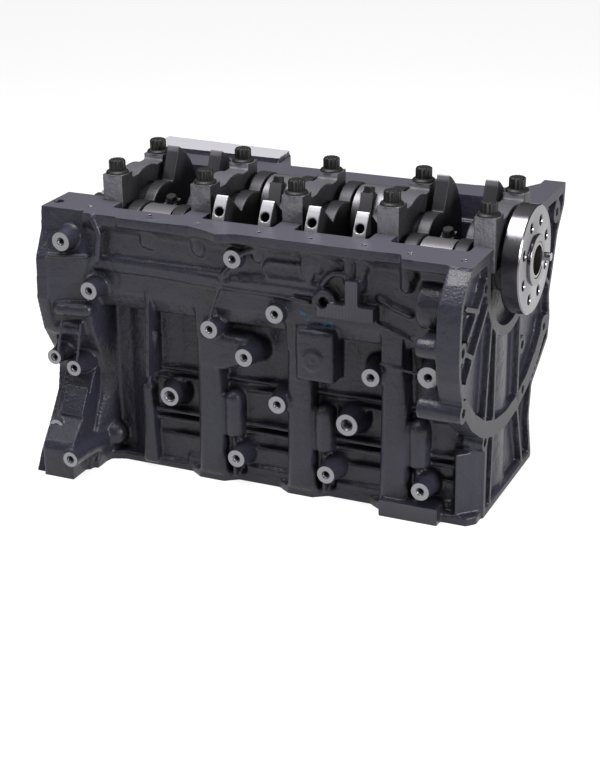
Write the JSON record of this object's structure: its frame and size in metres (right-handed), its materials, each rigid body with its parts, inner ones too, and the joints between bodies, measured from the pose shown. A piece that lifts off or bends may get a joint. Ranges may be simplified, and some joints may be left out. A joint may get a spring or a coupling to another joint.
{
  "type": "engine block",
  "caption": "In-line short block standing on its deck face: cast block, crankshaft with flywheel flange, main bearing caps, connecting rods and pistons.",
  "frame": {"origin": "on the deck face, midway between the second and third cylinders", "axes": "+X along the crankshaft towards the flywheel flange, +Z from the deck face towards the sump rail, -Y the side with the machined bosses"},
  "size_m": [0.49, 0.329, 0.312],
  "materials": {
    "block_iron": "grey iron casting with a thin dark coat, satin",
    "cap_iron": "bare grey iron, part machined",
    "bolt_steel": "black phosphate",
    "forged_steel": "dark forged skin with ground faces",
    "bearing_metal": "fine bored",
    "bright_steel": "ground",
    "piston_alloy": "turned",
    "bronze": "bored",
    "plug_steel": "pressed, zinc"
  },
  "bodies": {
    "block": {"block_casting": "block_iron", "core_plugs": "plug_steel", "main_bolts": "bolt_steel", "main_cap_1": "cap_iron", "main_cap_2": "cap_iron", "main_cap_3": "cap_iron", "main_cap_4": "cap_iron", "main_cap_5": "cap_iron", "main_shells_1": "bearing_metal", "main_shells_2": "bearing_metal", "main_shells_3": "bearing_metal", "main_shells_4": "bearing_metal", "main_shells_5": "bearing_metal", "thrust_washers": "bearing_metal"},
    "crank": {"crankshaft": "forged_steel", "flange_dowel": "bright_steel", "pilot_bush": "bronze", "nose_key": "bright_steel"},
    "rod_1": {"connecting_rod_1": "forged_steel", "rod_cap_1": "forged_steel", "rod_bolts_1": "bolt_steel", "rod_shells_1": "bearing_metal", "small_end_bush_1": "bronze"},
    "piston_1": {"piston_1": "piston_alloy", "piston_rings_1": "bright_steel", "circlips_1": "bright_steel", "gudgeon_pin_1": "bright_steel"},
    "rod_2": {"connecting_rod_2": "forged_steel", "rod_cap_2": "forged_steel", "rod_bolts_2": "bolt_steel", "rod_shells_2": "bearing_metal", "small_end_bush_2": "bronze"},
    "piston_2": {"piston_2": "piston_alloy", "piston_rings_2": "bright_steel", "circlips_2": "bright_steel", "gudgeon_pin_2": "bright_steel"},
    "rod_3": {"connecting_rod_3": "forged_steel", "rod_cap_3": "forged_steel", "rod_bolts_3": "bolt_steel", "rod_shells_3": "bearing_metal", "small_end_bush_3": "bronze"},
    "piston_3": {"piston_3": "piston_alloy", "piston_rings_3": "bright_steel", "circlips_3": "bright_steel", "gudgeon_pin_3": "bright_steel"},
    "rod_4": {"connecting_rod_4": "forged_steel", "rod_cap_4": "forged_steel", "rod_bolts_4": "bolt_steel", "rod_shells_4": "bearing_metal", "small_end_bush_4": "bronze"},
    "piston_4": {"piston_4": "piston_alloy", "piston_rings_4": "bright_steel", "circlips_4": "bright_steel", "gudgeon_pin_4": "bright_steel"}
  },
  "joints": [
    {"name": "crank_turn", "type": "hinge", "parent": "block", "child": "crank", "pos_m": [0, 0, 0.246], "axis": [1, 0, 0], "range_deg": [-8, 8]},
    {"name": "rod_swing_1", "type": "hinge", "parent": "crank", "child": "rod_1", "pos_m": [-0.147, -0.04206, 0.23706], "axis": [1, 0, 0], "range_deg": [-10, 10]},
    {"name": "piston_slide_1", "type": "slide", "parent": "block", "child": "piston_1", "axis": [0, 0, 1], "range_m": [-0.0075, 0.0075]},
    {"name": "rod_swing_2", "type": "hinge", "parent": "crank", "child": "rod_2", "pos_m": [-0.049, 0.04206, 0.25494], "axis": [1, 0, 0], "range_deg": [-10, 10]},
    {"name": "piston_slide_2", "type": "slide", "parent": "block", "child": "piston_2", "axis": [0, 0, 1], "range_m": [-0.0075, 0.0075]},
    {"name": "rod_swing_3", "type": "hinge", "parent": "crank", "child": "rod_3", "pos_m": [0.049, 0.04206, 0.25494], "axis": [1, 0, 0], "range_deg": [-10, 10]},
    {"name": "piston_slide_3", "type": "slide", "parent": "block", "child": "piston_3", "axis": [0, 0, 1], "range_m": [-0.0075, 0.0075]},
    {"name": "rod_swing_4", "type": "hinge", "parent": "crank", "child": "rod_4", "pos_m": [0.147, -0.04206, 0.23706], "axis": [1, 0, 0], "range_deg": [-10, 10]},
    {"name": "piston_slide_4", "type": "slide", "parent": "block", "child": "piston_4", "axis": [0, 0, 1], "range_m": [-0.0075, 0.0075]}
  ],
  "couplings": [
    {"joint": "rod_swing_1", "follows": "crank_turn", "ratio": -1.0612},
    {"joint": "piston_slide_1", "follows": "crank_turn", "m_per_rad": -0.044635},
    {"joint": "rod_swing_2", "follows": "crank_turn", "ratio": -0.93879},
    {"joint": "piston_slide_2", "follows": "crank_turn", "m_per_rad": 0.039486},
    {"joint": "rod_swing_3", "follows": "crank_turn", "ratio": -0.93879},
    {"joint": "piston_slide_3", "follows": "crank_turn", "m_per_rad": 0.039486},
    {"joint": "rod_swing_4", "follows": "crank_turn", "ratio": -1.0612},
    {"joint": "piston_slide_4", "follows": "crank_turn", "m_per_rad": -0.044635}
  ]
}
